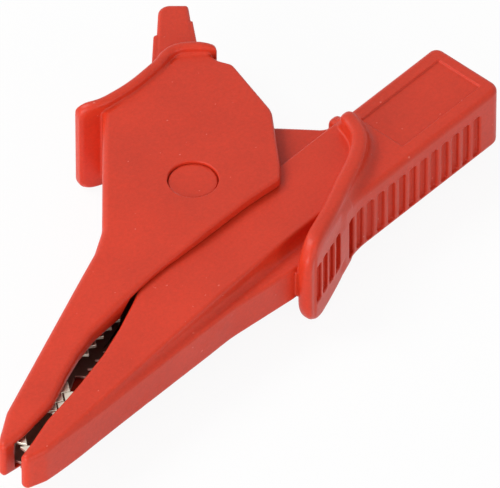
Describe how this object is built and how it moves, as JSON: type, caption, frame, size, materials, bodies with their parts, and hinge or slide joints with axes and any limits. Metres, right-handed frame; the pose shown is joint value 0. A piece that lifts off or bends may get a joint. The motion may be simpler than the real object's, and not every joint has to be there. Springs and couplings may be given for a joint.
{
  "type": "crocodile clip",
  "caption": "Insulated crocodile clip with a grooved handle, finger guards, a sprung thumb lever, plated serrated jaws and a shrouded test-lead socket.",
  "frame": {"origin": "centre of the bounding box's footprint, on the plane that the clip's side rests on", "axes": "+X from the nose tips to the end of the handle, +Y to the thumb tab, +Z along the pivot axis, up as the clip lies on its side"},
  "size_m": [0.1, 0.0513, 0.0166],
  "materials": {
    "red_plastic": "moulded red plastic, fine satin",
    "red_insert": "moulded red plastic",
    "nickel_plate": "nickel-plated sheet metal",
    "steel": "plain spring steel"
  },
  "bodies": {
    "handle": {"handle_body": "red_plastic", "lower_jaw": "nickel_plate", "pivot_pin": "steel", "torsion_spring": "steel", "socket_tube": "nickel_plate", "socket_insulator": "red_insert", "contact_strap": "nickel_plate", "strap_rivet_front": "nickel_plate", "strap_rivet_rear": "nickel_plate"},
    "lever": {"lever_body": "red_plastic", "upper_jaw": "nickel_plate"}
  },
  "joints": [
    {"name": "lever_hinge", "type": "hinge", "parent": "handle", "child": "lever", "pos_m": [0.0048, -0.00284, 0.0083], "axis": [0, 0, -1], "range_deg": [0, 32], "stiffness_Nm_per_rad": 0.1, "springref_deg": -57.3, "deforming": ["torsion_spring"]}
  ]
}
